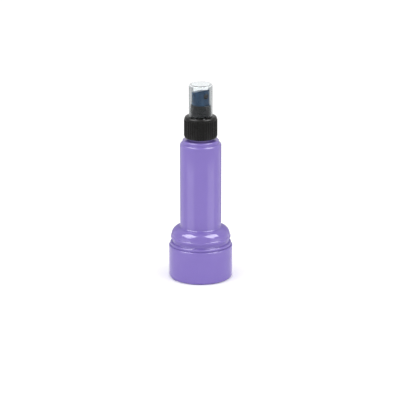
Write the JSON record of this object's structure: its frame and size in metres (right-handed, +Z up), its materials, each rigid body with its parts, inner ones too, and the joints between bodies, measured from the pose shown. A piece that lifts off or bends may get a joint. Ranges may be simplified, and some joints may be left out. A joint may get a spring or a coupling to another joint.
{
  "type": "lens cleaner spray bottle",
  "caption": "Moulded spray bottle with a wide foot, ribbed screw collar, fine mist pump, dip tube, push button and clear overcap.",
  "frame": {"origin": "centre of the plane that the bottle's foot stands on", "axes": "+Z up along the bottle's axis, +X towards the spray nozzle"},
  "size_m": [0.0456, 0.0456, 0.142],
  "materials": {
    "purple_plastic": "gloss",
    "black_plastic": "satin",
    "white_foam": "matte",
    "natural_plastic": "satin",
    "clear_tube": "satin",
    "clear_plastic": "clear gloss",
    "spring_steel": "bright"
  },
  "bodies": {
    "bottle": {"bottle": "purple_plastic"},
    "pump_body": {"pump_housing": "natural_plastic", "turret": "black_plastic", "neck_gasket": "white_foam", "dip_tube": "clear_tube"},
    "collar": {"screw_collar": "black_plastic"},
    "overcap": {"overcap": "clear_plastic"},
    "plunger": {"upper_stem": "natural_plastic", "lower_stem": "natural_plastic", "return_spring": "spring_steel"},
    "piston": {"piston": "natural_plastic"},
    "inlet_ball": {"check_ball": "spring_steel"},
    "button": {"actuator": "black_plastic", "nozzle_insert": "black_plastic"}
  },
  "joints": [
    {"name": "pump_rise", "type": "slide", "parent": "bottle", "child": "pump_body", "axis": [0, 0, 1], "range_m": [0, 0.0048]},
    {"name": "collar_turn", "type": "hinge", "parent": "pump_body", "child": "collar", "pos_m": [0, 0, 0.11], "axis": [0, 0, 1], "range_deg": [0, 540]},
    {"name": "overcap_pull", "type": "slide", "parent": "collar", "child": "overcap", "axis": [0, 0, 1], "range_m": [0, 0.035]},
    {"name": "spray_stroke", "type": "slide", "parent": "pump_body", "child": "plunger", "axis": [0, 0, -1], "range_m": [0, 0.0046], "stiffness_N_per_m": 1500, "springref_m": -0.003, "deforming": ["return_spring"]},
    {"name": "button_turn", "type": "hinge", "parent": "plunger", "child": "button", "pos_m": [0, 0, 0.13], "axis": [0, 0, 1], "continuous": true},
    {"name": "piston_play", "type": "slide", "parent": "plunger", "child": "piston", "axis": [0, 0, 1], "range_m": [0, 0.0005]},
    {"name": "ball_lift", "type": "slide", "parent": "pump_body", "child": "inlet_ball", "axis": [0, 0, 1], "range_m": [0, 0.0008]}
  ],
  "couplings": [
    {"joint": "pump_rise", "follows": "collar_turn", "m_per_rad": 0.00050532}
  ]
}
